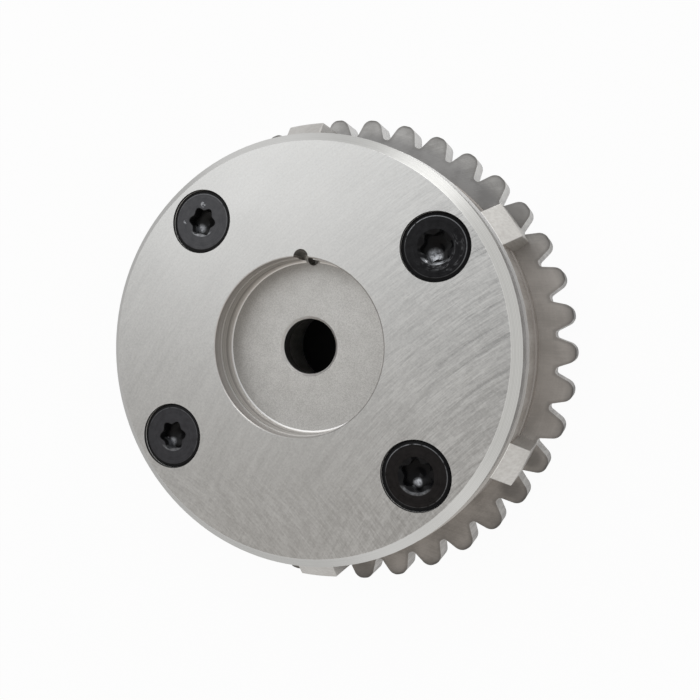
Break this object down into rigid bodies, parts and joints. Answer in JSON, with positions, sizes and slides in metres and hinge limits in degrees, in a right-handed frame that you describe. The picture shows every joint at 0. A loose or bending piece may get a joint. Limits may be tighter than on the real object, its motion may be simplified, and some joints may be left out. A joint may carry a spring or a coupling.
{
  "type": "cam phaser",
  "caption": "Vane-type cam phaser with a ground front cover, lugged housing, inverted-tooth chain sprocket, sprung lock pin and a rotor that swings inside.",
  "frame": {"origin": "on the camshaft axis, in the rear face of the sprocket, which the part lies on", "axes": "+Z along the camshaft axis, out of the front cover; +Y through the half-round notch in the cover's central hole"},
  "size_m": [0.102, 0.102, 0.0318],
  "materials": {
    "ground_steel": "ground with fine crossing scratches",
    "sintered_housing": "sintered steel, sized and tumbled",
    "sprocket_steel": "heat-treated, brown-grey",
    "sintered_rotor": "matte sintered steel",
    "hardened_steel": "hardened and ground",
    "spring_steel": "bright spring wire and strip",
    "seal_plastic": "filled plastic",
    "black_screw": "black oxide"
  },
  "bodies": {
    "housing": {"front_cover": "ground_steel", "stator_housing": "sintered_housing", "sprocket_plate": "sprocket_steel", "lock_pin_seat": "hardened_steel", "lobe_seal_1": "seal_plastic", "lobe_seal_2": "seal_plastic", "lobe_seal_3": "seal_plastic", "lobe_seal_4": "seal_plastic", "lobe_seal_spring_1": "spring_steel", "lobe_seal_spring_2": "spring_steel", "lobe_seal_spring_3": "spring_steel", "lobe_seal_spring_4": "spring_steel", "cover_screw_1": "black_screw", "cover_screw_2": "black_screw", "cover_screw_3": "black_screw", "cover_screw_4": "black_screw"},
    "rotor": {"rotor": "sintered_rotor", "lock_pin_cap": "hardened_steel", "vane_seal_1": "seal_plastic", "vane_seal_2": "seal_plastic", "vane_seal_3": "seal_plastic", "vane_seal_4": "seal_plastic", "vane_seal_spring_1": "spring_steel", "vane_seal_spring_2": "spring_steel", "vane_seal_spring_3": "spring_steel", "vane_seal_spring_4": "spring_steel"},
    "lock_pin": {"lock_pin": "hardened_steel", "lock_pin_spring": "spring_steel"}
  },
  "joints": [
    {"name": "rotor_swing", "type": "hinge", "parent": "housing", "child": "rotor", "pos_m": [0, 0, 0.0158], "axis": [0, 0, 1], "range_deg": [-30, 0]},
    {"name": "lock_pin_slide", "type": "slide", "parent": "rotor", "child": "lock_pin", "axis": [0, 0, 1], "range_m": [0, 0.0018], "stiffness_N_per_m": 1200, "springref_m": -0.008, "deforming": ["lock_pin_spring"]}
  ]
}
